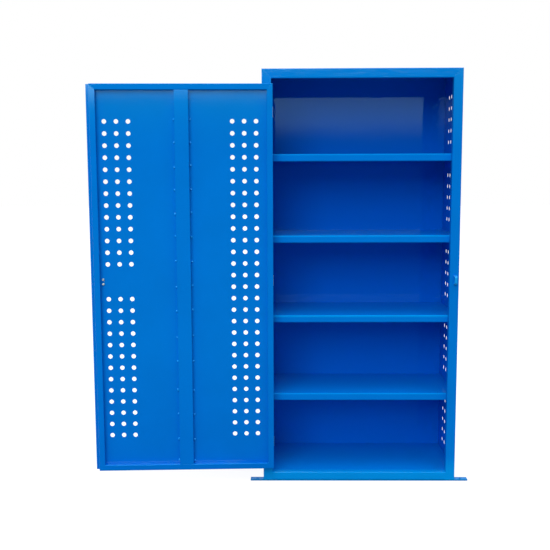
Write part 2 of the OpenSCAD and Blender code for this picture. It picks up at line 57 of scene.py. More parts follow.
# Camera, fitted to the photograph
camera = {
    "place": (-0.32544, -3.7557, 1.3569),
    "turnLeft": 0.0122,         # radians, about the upright
    "lookDown": 0.12228,        # radians below level
    "roll": -0.00351,
    "lens": 54.448,             # millimetres
    "sensor": 36,
    "clipEnd": 200,
}


def makeCamera(look):
    data = bpy.data.cameras.new("camera")
    data.sensor_width = look["sensor"]
    data.lens = look["lens"]
    data.clip_end = look["clipEnd"]
    obj = bpy.data.objects.new("camera", data)
    bpy.context.scene.collection.objects.link(obj)
    obj.matrix_world = (Matrix.Translation(look["place"])
                        @ Matrix.Rotation(look["turnLeft"], 4, "Z")
                        @ Matrix.Rotation(math.pi / 2 - look["lookDown"], 4, "X")
                        @ Matrix.Rotation(look["roll"], 4, "Z"))
    bpy.context.scene.camera = obj


makeCamera(camera)
print("camera placed")


# Node helpers
def newMaterial(name):
    mat = bpy.data.materials.new(name)
    mat.use_nodes = True
    tree = mat.node_tree
    tree.nodes.clear()
    out = tree.nodes.new("ShaderNodeOutputMaterial")
    shader = tree.nodes.new("ShaderNodeBsdfPrincipled")
    tree.links.new(shader.outputs["BSDF"], out.inputs["Surface"])
    return mat, tree, shader


def noiseAt(tree, coords, scale, detail=2.0, rough=0.5, stretch=None):
    n = tree.nodes.new("ShaderNodeTexNoise")
    n.inputs["Scale"].default_value = scale
    n.inputs["Detail"].default_value = detail
    n.inputs["Roughness"].default_value = rough
    if stretch:
        mapping = tree.nodes.new("ShaderNodeMapping")
        mapping.inputs["Scale"].default_value = stretch
        tree.links.new(coords, mapping.inputs["Vector"])
        coords = mapping.outputs["Vector"]
    tree.links.new(coords, n.inputs["Vector"])
    return n.outputs["Fac"]


def mathNode(tree, operation, a, b):
    n = tree.nodes.new("ShaderNodeMath")
    n.operation = operation
    for socket, value in zip(n.inputs, (a, b)):
        if isinstance(value, (int, float)):
            socket.default_value = value
        else:
            tree.links.new(value, socket)
    return n.outputs[0]


def rampNode(tree, fac, stops):
    ramp = tree.nodes.new("ShaderNodeValToRGB")
    points = ramp.color_ramp.elements
    while len(points) < len(stops):
        points.new(0.5)
    for point, (at, colour) in zip(points, stops):
        point.position = at
        point.color = (*colour, 1)
    tree.links.new(fac, ramp.inputs["Fac"])
    return ramp.outputs["Color"]


def addBump(tree, shader, height):
    bump = tree.nodes.new("ShaderNodeBump")
    bump.inputs["Strength"].default_value = 1.0
    bump.inputs["Distance"].default_value = 1.0
    tree.links.new(height, bump.inputs["Height"])
    tree.links.new(bump.outputs["Normal"], shader.inputs["Normal"])


def mixColours(tree, kind, fac, first, second):
    n = tree.nodes.new("ShaderNodeMix")
    n.data_type = "RGBA"
    n.blend_type = kind
    for name, value in (("Factor", fac), ("A", first), ("B", second)):
        if isinstance(value, (int, float)):
            n.inputs[name].default_value = value
        else:
            tree.links.new(value, n.inputs[name])
    return n.outputs["Result"]


# A colour that changes with height, from stops of metres and colour
def colourByHeight(tree, height, stops, reach=2.0):
    return rampNode(tree, mathNode(tree, "MULTIPLY", height, 1 / reach),
                    [(z / reach, colour) for z, colour in stops])


# One colour at every height
def evenBlue(colour):
    return [(0.0, colour), (1.0, colour)]


# Gloss powder coat: an even blue with orange peel, over sheet that is never quite flat, and a darker blue
# inside the cabinet as painted shade
plainBlue = (0.0, 0.205, 0.755)
powderCoat = {
    "blues": evenBlue(plainBlue),        # stops of height in metres and colour
    "thinTone": 0.94,                    # where the coat is a little thinner
    # Painted shade: the inside's darker blues, darker again towards the top
    "insideShadeBlues": [(0.3, (0.0, 0.158, 0.765)), (1.0, (0.0, 0.142, 0.72)), (1.7, (0.0, 0.136, 0.66))],
    "insideFrom": 34 * mm,               # behind the front, where the inside's blue begins
    "outerSkin": 0.8 * mm,               # of the shell's sheet, which keeps the outside's blue
    "patchSize": 0.16,
    "patchEdges": (0.3, 0.7),
    "roughness": (0.035, 0.065),
    "hazeScale": 22.0,
    "specular": 0.5,
    "veil": (0.42, 0.9, 1.0),            # tint of the reflections
    "lean": 0.0,                         # how far the sheet leans forward, as a slope
    "peelSize": 2.6 * mm,
    "peelDepth": 0.003 * mm,
    "gritSize": 0.7 * mm,
    "gritDepth": 0.0006 * mm,
}
sheetWaves = {
    "flat": {"size": 0.19, "depth": 0.22 * mm, "stretch": (1, 1, 1)},
    "folded": {"size": 0.045, "depth": 0.05 * mm, "stretch": (0.45, 1, 1.0)},
    "tube": {"size": 0.07, "depth": 0.035 * mm, "stretch": (1, 1, 0.4)},
    "head": {"size": 0.012, "depth": 0.11 * mm, "stretch": (0.22, 1, 1)},
}


# 1 on faces that look into the cabinet, 0 on its outer faces and its front: where the painted shade of the
# inside goes
def insideShadeMask(tree, place, look):
    skin = look["outerSkin"]
    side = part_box("side_panel_right")[1].x - skin
    front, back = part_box("front_head")[0].y + look["insideFrom"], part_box("back_panel")[1].y - skin
    low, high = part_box("floor_panel")[1].z - skin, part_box("roof_panel")[1].z - skin
    checks = [("LESS_THAN", mathNode(tree, "ABSOLUTE", place.outputs["X"], 0.0), side),
              ("GREATER_THAN", place.outputs["Y"], front), ("LESS_THAN", place.outputs["Y"], back),
              ("GREATER_THAN", place.outputs["Z"], low), ("LESS_THAN", place.outputs["Z"], high)]
    mask = 1.0
    for operation, value, limit in checks:
        mask = mathNode(tree, "MULTIPLY", mathNode(tree, operation, value, limit), mask)
    return mask


def makePowderCoat(name, waves, look=powderCoat):
    mat, tree, shader = newMaterial(name)
    coords = tree.nodes.new("ShaderNodeTexCoord").outputs["Object"]
    place = tree.nodes.new("ShaderNodeSeparateXYZ")
    tree.links.new(coords, place.inputs[0])
    patches = noiseAt(tree, coords, 1 / look["patchSize"], detail=3)
    thinAt, fullAt = look["patchEdges"]
    tone = rampNode(tree, patches, [(thinAt, (look["thinTone"],) * 3), (fullAt, (1.0, 1.0, 1.0))])
    blue = colourByHeight(tree, place.outputs["Z"], look["blues"])
    outside = mixColours(tree, "MULTIPLY", 1.0, blue, tone)
    # Inside the cabinet the blue is swapped for a darker one, as painted shade
    shadedInside = colourByHeight(tree, place.outputs["Z"], look["insideShadeBlues"])
    colour = mixColours(tree, "MIX", insideShadeMask(tree, place, look), outside, shadedInside)
    tree.links.new(colour, shader.inputs["Base Color"])
    low, high = look["roughness"]
    haze = mathNode(tree, "MULTIPLY_ADD", noiseAt(tree, coords, look["hazeScale"], detail=4), high - low)
    haze.node.inputs[2].default_value = low
    tree.links.new(haze, shader.inputs["Roughness"])
    shader.inputs["Specular IOR Level"].default_value = look["specular"]
    shader.inputs["Specular Tint"].default_value = (*look["veil"], 1)
    peel = noiseAt(tree, coords, 1 / look["peelSize"], detail=1)
    grit = noiseAt(tree, coords, 1 / look["gritSize"], detail=0)
    wave = noiseAt(tree, coords, 1 / waves["size"], detail=2, stretch=waves["stretch"])
    total = 0.0
    for height, depth in ((peel, look["peelDepth"]), (grit, look["gritDepth"]), (wave, waves["depth"]),
                          (place.outputs["Z"], look["lean"])):
        total = mathNode(tree, "ADD", mathNode(tree, "MULTIPLY", height, depth), total)
    addBump(tree, shader, total)
    return mat


# Zinc plate on pressed steel: bright, faintly mottled, with fine upright scratches
zincPlate = {
    "pale": (0.86, 0.84, 0.80),
    "dull": (0.62, 0.61, 0.60),
    "roughness": (0.32, 0.5),
    "spangle": 7 * mm,
    "spangleEdges": (0.32, 0.66),
    "scratchScale": 900.0,
    "scratchStretch": (1, 1, 0.04),
    "scratchDepth": 0.004 * mm,
}


def makeZinc(name, look):
    mat, tree, shader = newMaterial(name)
    coords = tree.nodes.new("ShaderNodeTexCoord").outputs["Object"]
    mottle = noiseAt(tree, coords, 1 / look["spangle"], detail=5, rough=0.6)
    dullAt, paleAt = look["spangleEdges"]
    colour = rampNode(tree, mottle, [(dullAt, look["dull"]), (paleAt, look["pale"])])
    tree.links.new(colour, shader.inputs["Base Color"])
    shader.inputs["Metallic"].default_value = 1.0
    low, high = look["roughness"]
    haze = mathNode(tree, "MULTIPLY_ADD", mottle, high - low)
    haze.node.inputs[2].default_value = low
    tree.links.new(haze, shader.inputs["Roughness"])
    scratches = noiseAt(tree, coords, look["scratchScale"], detail=2, stretch=look["scratchStretch"])
    addBump(tree, shader, mathNode(tree, "MULTIPLY", scratches, look["scratchDepth"]))
    return mat


pinSteel = dict(zincPlate, pale=(0.50, 0.49, 0.48), dull=(0.30, 0.29, 0.28), roughness=(0.3, 0.45))
nutZinc = dict(zincPlate, pale=(0.86, 0.72, 0.58), dull=(0.55, 0.43, 0.34))      # a warmer tone

# One powder coat with painted light in its blue: paler by the floor as painted light from the floor, paler
# at the top as a painted sheen, darker low on the door as painted shade
framePaintedLightBlues = [(0.045, (0.0, 0.30, 0.84)), (0.11, plainBlue), (1.45, plainBlue), (1.70, (0.003, 0.25, 0.77))]
headPaintedSheenBlues = [(0.0, plainBlue), (1.7, (0.0, 0.225, 0.765))]
doorPaintedLightBlues = [(0.06, (0.0, 0.172, 0.70)), (0.6, plainBlue), (1.45, plainBlue), (1.68, (0.001, 0.232, 0.765))]
railPaintedShadeBlues = [(0.06, (0.0, 0.172, 0.70)), (0.6, plainBlue)]
# A painted highlight: a paler blue along the top of each shelf's front fold
foldHighlight = {"blue": (0.0, 0.33, 0.88), "from": -4.5 * mm, "to": 5 * mm,      # from each shelf's top
            "fadeDown": 2 * mm, "fadeUp": 1 * mm}
lipBluesHighlighted = [(0.0, plainBlue)]      # with a painted highlight along each shelf's fold
for z in sorted(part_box(n)[1].z for n in nodes if n.startswith("shelf_")):
    low, high = z + foldHighlight["from"], z + foldHighlight["to"]
    lipBluesHighlighted += [(low - foldHighlight["fadeDown"], plainBlue), (low, foldHighlight["blue"]),
                 (high, foldHighlight["blue"]), (high + foldHighlight["fadeUp"], plainBlue)]
coats = {
    "flat": {"waves": "flat"},
    "folded": {"waves": "folded", "lean": 0.024, "blues": framePaintedLightBlues},
    "head": {"waves": "head", "lean": 0.024, "blues": headPaintedSheenBlues},
    "foot": {"waves": "folded", "blues": evenBlue((0.0, 0.22, 0.60)), "specular": 0.06},
    "tube": {"waves": "tube", "lean": 0.020, "blues": doorPaintedLightBlues},
    "rail": {"waves": "tube", "lean": 0.020, "blues": railPaintedShadeBlues, "veil": (0.16, 0.9, 1.0)},
    "lockStile": {"waves": "tube", "lean": 0.003, "blues": doorPaintedLightBlues},
    "stiffener": {"waves": "tube", "lean": 0.0085, "blues": doorPaintedLightBlues},
    "skin": {"waves": "flat", "lean": 0.0070, "blues": doorPaintedLightBlues},
    "back": {"waves": "flat", "lean": -0.0162, "specular": 0.16},
    # the shelves inside take a slightly darker blue, as painted shade
    "shelf": {"waves": "flat", "blues": lipBluesHighlighted, "insideShadeBlues": evenBlue((0.0, 0.200, 0.735)),
              "roughness": (0.12, 0.18), "specular": 0.035},
    # A paler blue as a painted highlight, on the staple and the stiffener's tack welds
    "bright": {"waves": "tube", "blues": evenBlue((0.01, 0.35, 0.90))},
}
coat = {}
for coatName, change in coats.items():
    coat[coatName] = makePowderCoat("powder_coat_" + coatName, sheetWaves[change["waves"]],
                                    {**powderCoat, **change})
zinc = makeZinc("zinc_plate", zincPlate)
steel = makeZinc("drawn_steel_pin", pinSteel)
warmZinc = makeZinc("zinc_plate_nuts", nutZinc)

finishes = {
    "front_foot_bar": coat["foot"], "rear_foot_bar": coat["foot"], "front_head": coat["head"],
    # the padlock staple takes the paler blue of a painted highlight
    "front_": coat["folded"], "padlock_staple": coat["bright"], "side_panel": coat["flat"],
    "back_panel": coat["back"], "roof_panel": coat["flat"], "floor_panel": coat["shelf"],
    "shelf_": coat["shelf"], "door_skin": coat["skin"], "door_top": coat["rail"],
    "door_bottom": coat["rail"], "door_hinge_stile": coat["tube"], "door_lock_stile": coat["lockStile"],
    "door_stiffener": coat["stiffener"], "jamb_leaf": zinc, "door_leaf": zinc, "hasp_base": zinc,
    "hasp_strap": zinc, "hasp_bolts": zinc, "hasp_nuts": warmZinc, "hinge_pin": steel, "hasp_pin": steel,
}
for nodeName, obj in nodes.items():
    finish = next(mat for start, mat in finishes.items() if nodeName.startswith(start))
    for slot in obj.material_slots:
        slot.material = finish
print("finishes on", len(nodes), "nodes")


def turnAbout(point, degrees):
    return (Matrix.Translation(point) @ Matrix.Rotation(math.radians(degrees), 4, "Z")
            @ Matrix.Translation(-Vector(point)))


# The door is built shut and then turned back from its hinge's far end, to where it stands open
doorTurn = turnAbout(Vector(hinge["pos_m"]), -hinge["range_deg"][1])
bodyNow = {"cabinet_body": Matrix.Identity(4), "door": doorTurn}


# Corners of a door node with the door shut
def closedBox(nodeName):
    back = doorTurn.inverted()
    points = [back @ v.co for v in nodes[nodeName].data.vertices]
    return (Vector([min(p[i] for p in points) for i in range(3)]),
            Vector([max(p[i] for p in points) for i in range(3)]))


# One mesh from build(bm), moved to where its body stands and set to ride on it
def addPiece(name, build, material, body, smooth=40):
    bm = bmesh.new()
    build(bm)
    bmesh.ops.recalc_face_normals(bm, faces=bm.faces)
    mesh = bpy.data.meshes.new(name)
    bm.to_mesh(mesh)
    bm.free()
    mesh.transform(bodyNow[body])
    mesh.materials.append(material)
    mesh.polygons.foreach_set("use_smooth", [True] * len(mesh.polygons))
    mesh.set_sharp_from_angle(angle=math.radians(smooth))
    obj = bpy.data.objects.new(name, mesh)
    bpy.context.scene.collection.objects.link(obj)
    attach(obj, body)
    return obj


# A weld bead: a low lump on a face, uneven at its edge
bead = {"rings": 5, "around": 14, "wobble": 0.16, "wobbleScale": 1.7, "seedStep": 3.1,
        "sink": 0.1}      # how deep its bottom lies, as a share of its height


def addBead(bm, centre, normal, along, length, width, height, seed, look=bead):
    n = Vector(normal).normalized()
    a = Vector(along).normalized()
    side = n.cross(a)
    rings, around, scale = look["rings"], look["around"], look["wobbleScale"]
    ringVerts = []
    for i in range(rings):
        t = i / rings * math.pi / 2
        ring = []
        for k in range(around):
            w = 2 * math.pi * k / around
            spot = Vector((math.cos(w) * scale, math.sin(w) * scale, seed * look["seedStep"] + t))
            reach = math.cos(t) * (1 + look["wobble"] * noise.noise(spot))
            offset = (a * (length / 2 * reach * math.cos(w)) + side * (width / 2 * reach * math.sin(w))
                      + n * (height * math.sin(t)))
            ring.append(bm.verts.new(Vector(centre) + offset))
        ringVerts.append(ring)
    top = bm.verts.new(Vector(centre) + n * height)
    bottom = bm.verts.new(Vector(centre) - n * height * look["sink"])
    for low, high in zip(ringVerts, ringVerts[1:]):
        for k in range(around):
            bm.faces.new((low[k], low[(k + 1) % around], high[(k + 1) % around], high[k]))
    for k in range(around):
        bm.faces.new((ringVerts[-1][k], ringVerts[-1][(k + 1) % around], top))
        bm.faces.new((ringVerts[0][(k + 1) % around], ringVerts[0][k], bottom))


# A number that sets the shape of one bead's edge
def beadSeed():
    return random.random() * 9


# Tack welds along both edges of the door's stiffener, in the paler blue of a painted highlight
stiffenerTacks = {
    "heights": [0.103, 0.198, 0.310, 0.423, 0.545, 0.655, 0.772, 0.878, 0.984, 1.088, 1.189, 1.289, 1.383,
                1.485, 1.584],
    "length": 11 * mm, "width": 9 * mm, "height": 5.0 * mm,
    "grow": (0.8, 1.2),
    "stray": 6 * mm,              # up or down from its height
    "off": 4.0 * mm,              # from the stiffener's edge to the bead's middle
    "tilt": 0.35,                 # how far it faces sideways
    "draws": 11,
}


def buildStiffenerTacks(bm, look=stiffenerTacks):
    low, high = closedBox("door_stiffener")
    random.seed(look["draws"])
    for side, x in ((-1, low.x), (1, high.x)):
        for z in look["heights"]:
            grow = random.uniform(*look["grow"])
            place = (x + side * look["off"], low.y, z + random.uniform(-look["stray"], look["stray"]))
            addBead(bm, place, (side * look["tilt"], 1, 0), (0, 0, 1), look["length"] * grow,
                    look["width"], look["height"] * grow, beadSeed())


addPiece("stiffener_tack_welds", buildStiffenerTacks, coat["bright"], "door")


# Tack welds that hold the back wall to the side walls, up both rear corners
cornerTacks = {
    "pitch": 70 * mm, "length": 12 * mm, "width": 5 * mm, "height": 2.0 * mm,
    "grow": (0.8, 1.25),
    "stray": 7 * mm,
    "off": 1.2 * mm,              # from both walls
    "clear": 45 * mm,             # below the next shelf
    "draws": 5,
}


def buildCornerTacks(bm, look=cornerTacks):
    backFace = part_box("back_panel")[0].y
    leftFace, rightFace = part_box("side_panel_left")[1].x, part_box("side_panel_right")[0].x
    random.seed(look["draws"])
    tops = sorted(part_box(n)[1].z for n in nodes if n.startswith("shelf_") or n == "floor_panel")
    ceilings = tops[1:] + [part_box("roof_panel")[0].z]
    for low, high in zip(tops, ceilings):
        count = int((high - low - look["clear"]) / look["pitch"])
        for i in range(count + 1):
            z = low + look["pitch"] * (0.5 + i) + random.uniform(-look["stray"], look["stray"])
            if z > high - look["clear"]:
                continue
            for x, side in ((leftFace, 1), (rightFace, -1)):
                place = (x + side * look["off"], backFace - look["off"], z)
                length = look["length"] * random.uniform(*look["grow"])
                addBead(bm, place, (side, -1, 0), (0, 0, 1), length, look["width"], look["height"],
                        beadSeed())


addPiece("rear_corner_tack_welds", buildCornerTacks, coat["tube"], "cabinet_body")


# A seam of beads that run into one another
seam = {"overlap": 2.4, "seedStep": 0.7}      # a bead's length in steps, and how its edge changes


def addSeam(bm, start, end, normal, look, seed):
    start, end = Vector(start), Vector(end)
    along = end - start
    count = max(2, round(along.length / look["step"]))
    for i in range(count + 1):
        addBead(bm, start + along * (i / count), normal, along, look["step"] * seam["overlap"],
                look["width"], look["height"], seed + i * seam["seedStep"])


# Welded mitres, dressed nearly flush before painting
mitreWelds = {"step": 2.2 * mm, "width": 3.4 * mm, "height": 0.22 * mm,
              "inset": 3.2 * mm, "doorInset": 8.5 * mm,     # from the corners, where the tube is rounded
              "sillInset": 2 * mm}


def buildDoorMitres(bm, look=mitreWelds):
    outer = closedBox("door_top_rail")
    lower = closedBox("door_bottom_rail")
    side = outer[1].z - outer[0].z
    left, right, back = outer[0].x, outer[1].x, outer[1].y
    first, last = look["doorInset"], side - look["inset"]
    for x, sx in ((left, 1), (right, -1)):
        for z, sz in ((outer[1].z, -1), (lower[0].z, 1)):
            addSeam(bm, (x + sx * first, back, z + sz * first), (x + sx * last, back, z + sz * last),
                    (0, 1, 0), look, x + z)


def buildFrameMitres(bm, look=mitreWelds):
    low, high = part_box("front_head")
    side = high.z - low.z
    inset = look["inset"]
    for x, sx in ((low.x, 1), (high.x, -1)):
        addSeam(bm, (x + sx * inset, low.y, high.z - inset),
                (x + sx * (side - inset), low.y, low.z + inset), (0, -1, 0), look, x)
    sillLow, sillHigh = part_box("front_sill")
    for x in (sillLow.x, sillHigh.x):
        addSeam(bm, (x, sillLow.y, sillLow.z + look["sillInset"]), (x, sillLow.y, sillHigh.z - inset),
                (0, -1, 0), look, x + 1)


addPiece("door_mitre_welds", buildDoorMitres, coat["rail"], "door")
addPiece("frame_mitre_welds", buildFrameMitres, coat["folded"], "cabinet_body")


# Fillet welds: staple legs on the jamb, foot bars under the jambs
stapleWelds = {
    "step": 2.0 * mm, "width": 4.5 * mm, "height": 1.8 * mm,
    "tilt": 0.8,
    "dotAt": (7 * mm, 10 * mm),      # a stray tack, from the staple's upper left corner
    "dotSize": (4 * mm, 3.5 * mm, 1.6 * mm),      # length, width and height
    "dotSeed": 2.0,
}
footWelds = {"step": 3.0 * mm, "width": 5.0 * mm, "height": 2.2 * mm, "tilt": 0.8, "inset": 5.0 * mm}


def buildStapleWelds(bm, look=stapleWelds):
    low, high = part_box("padlock_staple")
    face = high.y
    for z, sz in ((low.z, -1), (high.z, 1)):
        addSeam(bm, (low.x, face, z), (high.x, face, z), (0, -1, sz * look["tilt"]), look, z)
    right, up = look["dotAt"]
    dot = (low.x + right, face, high.z + up)
    addBead(bm, dot, (0, -1, 0), (0, 0, 1), *look["dotSize"], look["dotSeed"])


def buildFootWelds(bm, look=footWelds):
    for bar in ("front_foot_bar", "rear_foot_bar"):
        low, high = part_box(bar)
        top = high.z
        for x, sx in ((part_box("side_panel_left")[0].x, -1), (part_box("side_panel_right")[1].x, 1)):
            addSeam(bm, (x, low.y + look["inset"], top), (x, high.y - look["inset"], top),
                    (sx * look["tilt"], 0, 1), look, x)


addPiece("staple_welds", buildStapleWelds, coat["tube"], "cabinet_body")
addPiece("foot_bar_welds", buildFootWelds, coat["foot"], "cabinet_body")
print("welds made")


# Countersunk screws with a cross recess, in place of the plain ones
screws = {
    "headR": 3.8 * mm, "headH": 1.5 * mm, "shankR": 2.0 * mm, "reach": 4.5 * mm,
    "bevelR": 0.15 * mm, "bevelH": 0.1 * mm,
    "crossR": 2.1 * mm, "crossW": 0.75 * mm, "crossDepth": 0.9 * mm,
    "crossTaper": 0.7,            # its floor, as a share of its mouth
    "jambTurn": (0.4, 1.3),       # radians: the first screw's cross, and from one screw to the next
    "doorTurn": (0.9, 0.8),
    "leastPitch": 12 * mm,
    "sides": 28,
}


# A screw at the origin with its head's face up, turned and moved to its place
def addScrew(bm, at, turn, look=screws):
    place = Matrix.Translation(at) @ turn
    n = look["sides"]

    def ring(r, z):
        angles = [2 * math.pi * k / n for k in range(n)]
        return [bm.verts.new(place @ Vector((r * math.cos(a), r * math.sin(a), z))) for a in angles]

    def band(a, b):
        for k in range(len(a)):
            bm.faces.new((a[k], a[(k + 1) % len(a)], b[(k + 1) % len(a)], b[k]))

    rim = ring(look["headR"], -look["bevelH"])
    top = ring(look["headR"] - look["bevelR"], 0)
    neck = ring(look["shankR"], -look["headH"])
    tip = ring(look["shankR"], -look["headH"] - look["reach"])
    band(rim, top)
    band(neck, rim)
    band(tip, neck)
    bm.faces.new(list(reversed(tip)))
    r, w, taper = look["crossR"], look["crossW"] / 2, look["crossTaper"]
    cross = [(r, w), (w, w), (w, r), (-w, r), (-w, w), (-r, w),
             (-r, -w), (-w, -w), (-w, -r), (w, -r), (w, -w), (r, -w)]
    mouth = [bm.verts.new(place @ Vector((x, y, 0))) for x, y in cross]
    crossFloor = [bm.verts.new(place @ Vector((x * taper, y * taper, -look["crossDepth"])))
                  for x, y in cross]
    band(mouth, crossFloor)
    bm.faces.new(crossFloor)
    edges = [bm.edges.get((a, b)) or bm.edges.new((a, b))
             for loop in (top, mouth) for a, b in zip(loop, loop[1:] + loop[:1])]
    bmesh.ops.triangle_fill(bm, edges=edges, use_beauty=True, use_dissolve=False)


# The height of each screw's middle, from the node's own separate solids
def screwHeights(nodeName, look=screws):
    groups = []
    for z in sorted({round(v.co.z, 4) for v in nodes[nodeName].data.vertices}):
        if not groups or z - groups[-1][-1] > look["leastPitch"]:
            groups.append([z])
        else:
            groups[-1].append(z)
    return [(g[0] + g[-1]) / 2 for g in groups]


def buildJambScrews(bm, look=screws):
    low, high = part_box("jamb_leaf_screws")
    first, step = look["jambTurn"]
    for i, z in enumerate(screwHeights("jamb_leaf_screws")):
        addScrew(bm, Vector((high.x, (low.y + high.y) / 2, z)),
                 Matrix.Rotation(math.pi / 2, 4, "Y") @ Matrix.Rotation(first + step * i, 4, "Z"))


def buildDoorScrews(bm, look=screws):
    low, high = closedBox("door_leaf_screws")
    first, step = look["doorTurn"]
    for i, z in enumerate(screwHeights("door_leaf_screws")):
        addScrew(bm, Vector(((low.x + high.x) / 2, low.y, z)),
                 Matrix.Rotation(math.pi / 2, 4, "X") @ Matrix.Rotation(first + step * i, 4, "Z"))


jambScrews = addPiece("jamb_cross_screws", buildJambScrews, zinc, "cabinet_body", smooth=25)
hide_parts("jamb_leaf_screws")
doorScrews = addPiece("door_cross_screws", buildDoorScrews, zinc, "door", smooth=25)
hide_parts("door_leaf_screws")


# Stacked rings along the place's Z, with a radius that may vary round the axis
def addLathe(bm, place, heights, radius, sides):
    angles = [2 * math.pi * k / sides for k in range(sides)]
    loops = []
    for z in heights:
        rims = [(radius(z, a), a) for a in angles]
        loops.append([bm.verts.new(place @ Vector((r * math.cos(a), r * math.sin(a), z))) for r, a in rims])
    for a, b in zip(loops, loops[1:]):
        for k in range(sides):
            bm.faces.new((a[k], a[(k + 1) % sides], b[(k + 1) % sides], b[k]))
    bm.faces.new(list(reversed(loops[0])))
    bm.faces.new(loops[-1])


# Hasp bolts with a domed head and a rolled thread
haspBolts = {
    "spacing": 20 * mm,
    "boltR": 3.0 * mm,
    "plate": 2.5 * mm,            # thickness of the hasp's plate, which the heads lie on
    "threadFrom": 4.0 * mm, "threadPitch": 1.0 * mm, "threadDepth": 0.45 * mm,
    "ringsPerTurn": 4, "boltSides": 24,
    "tip": 0.3 * mm,              # plain end, a little thinner than the thread's root
    "tipDepth": 0.54 * mm,
    "headLap": 0.05 * mm,         # how far the shank starts inside the head
    "runIn": 0.1 * mm,            # from the shank to the first thread
    "headRings": [0.0, 0.25, 0.45, 0.65, 0.82, 0.94, 1.0],      # as shares of the head's height
    "headRound": 0.94, "headLeastR": 0.3 * mm, "headSides": 32,
}


# Both bolts' heights, about the middle of the node's box
def boltHeights(low, high, look=haspBolts):
    middle = (low.z + high.z) / 2
    return (middle - look["spacing"] / 2, middle + look["spacing"] / 2)


def buildHaspBolts(bm, look=haspBolts):
    low, high = closedBox("hasp_bolts")
    plateFace = closedBox("hasp_base")[1].y - look["plate"]
    x = (low.x + high.x) / 2
    r, start, pitch, depth = (look[key] for key in ("boltR", "threadFrom", "threadPitch", "threadDepth"))
    length = high.y - plateFace
    ringStep = pitch / look["ringsPerTurn"]
    turns = [start + i * ringStep for i in range(int((length - start) / ringStep))]
    rings = [-look["headLap"], start - look["runIn"]] + turns + [length]
    headR, headH = (high.x - low.x) / 2, plateFace - low.y

    def threaded(along, angle):
        if along < start:
            return r
        if along >= length - look["tip"]:
            return r - look["tipDepth"]
        phase = (along / pitch - angle / (2 * math.pi)) % 1
        return r - depth * abs(2 * phase - 1)

    def dome(along, angle):
        round2 = max(0.0, 1 - (along / headH) ** 2 * look["headRound"])
        return max(headR * math.sqrt(round2), look["headLeastR"])

    for z in boltHeights(low, high):
        toBack = Matrix.Translation((x, plateFace, z)) @ Matrix.Rotation(-math.pi / 2, 4, "X")
        addLathe(bm, toBack, rings, threaded, look["boltSides"])
        toFront = Matrix.Translation((x, plateFace, z)) @ Matrix.Rotation(math.pi / 2, 4, "X")
        addLathe(bm, toFront, [t * headH for t in look["headRings"]], dome, look["headSides"])


# Hexagon nuts with chamfered corners
haspNuts = {
    "rings": [0.0, 0.1 * mm, 0.3 * mm, 0.5 * mm, 0.8 * mm],      # from either face
    "faceR": 0.97,                # of the distance across the flats
    "chamfer": 1.7,               # slope of the chamfer
    "sides": 48,
}


def buildHaspNuts(bm, look=haspNuts):
    low, high = closedBox("hasp_nuts")
    x = (low.x + high.x) / 2
    flat = (high.x - low.x) / 2 * math.cos(math.pi / 6)
    depth = high.y - low.y
    rings = look["rings"] + [depth - step for step in reversed(look["rings"])]

    def hexagon(along, angle):
        hexR = flat / math.cos((angle % (math.pi / 3)) - math.pi / 6)
        edge = min(along, depth - along)
        return min(hexR, flat * look["faceR"] + edge * look["chamfer"])

    for z in boltHeights(low, high):
        place = Matrix.Translation((x, low.y, z)) @ Matrix.Rotation(-math.pi / 2, 4, "X")
        addLathe(bm, place, rings, hexagon, look["sides"])


bolts = addPiece("hasp_domed_bolts", buildHaspBolts, zinc, "door", smooth=30)
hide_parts("hasp_bolts")
nuts = addPiece("hasp_hexagon_nuts", buildHaspNuts, warmZinc, "door", smooth=25)
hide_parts("hasp_nuts")
print("screws, bolts and nuts made")


# Stage: a pale floor that keeps the shadow, white behind it, a soft sky in the gloss and one softbox
stageLook = {
    "floorSize": 60.0,
    "floorNear": (0.35, 0.36, 0.37),       # for soft light, beside the object and out in front
    "floorFar": (0.20, 0.21, 0.22),
    "nearEnds": (-0.35, -0.9),             # where that change begins and is full, along Y
    "floorInFront": (0.03, 0.28, 0.45),    # what the gloss shows of the floor out in front
    "frontFrom": (-0.17, -0.2),            # where that darker floor begins and is full, along Y
    "shadowShare": 0.22,                   # how much of the floor's shading shows on its white
    "floorWhite": 1.08,                    # brings the lit floor to a clean white
    "skyLight": [                          # height above level (sine), colour, for soft light
        (-1.0, (0.05, 0.05, 0.05)), (0.0, (0.27, 0.27, 0.27)), (0.3, (0.33, 0.33, 0.33)),
        (0.6, (0.58, 0.58, 0.58)), (0.8, (1.4, 1.4, 1.42)), (0.9, (2.4, 2.4, 2.45)), (1.0, (3.0, 3.0, 3.1)),
    ],
    "skyGloss": [                          # the same, for what the gloss shows in front of the object
        (-1.0, (0.03, 0.28, 0.45)), (0.045, (0.03, 0.28, 0.45)), (0.068, (0.03, 0.70, 0.90)),
        (0.074, (0.16, 0.90, 1.0)), (0.082, (2.2, 2.2, 2.2)), (0.090, (4.4, 4.4, 4.4)),
        (0.122, (4.6, 4.6, 4.6)), (0.132, (0.4, 0.7, 0.8)), (0.45, (0.3, 0.55, 0.65)),
        (0.7, (1.6, 1.7, 1.8)), (1.0, (2.4, 2.5, 2.6)),
    ],
    "softbox": {"place": (-2.5, -9.0, 6.0), "aim": (-0.2, 0.0, 0.9), "size": (5.4, 6.2), "power": 469},
}


# 1 where the ray is any of the named kinds
def anyOf(tree, *names):
    paths = tree.nodes.new("ShaderNodeLightPath")
    total = paths.outputs[names[0]]
    for name in names[1:]:
        total = mathNode(tree, "MAXIMUM", total, paths.outputs[name])
    return total


def mixShaders(tree, fac, first, second):
    mix = tree.nodes.new("ShaderNodeMixShader")
    tree.links.new(fac, mix.inputs["Fac"])
    tree.links.new(first, mix.inputs[1])
    tree.links.new(second, mix.inputs[2])
    return mix.outputs[0]


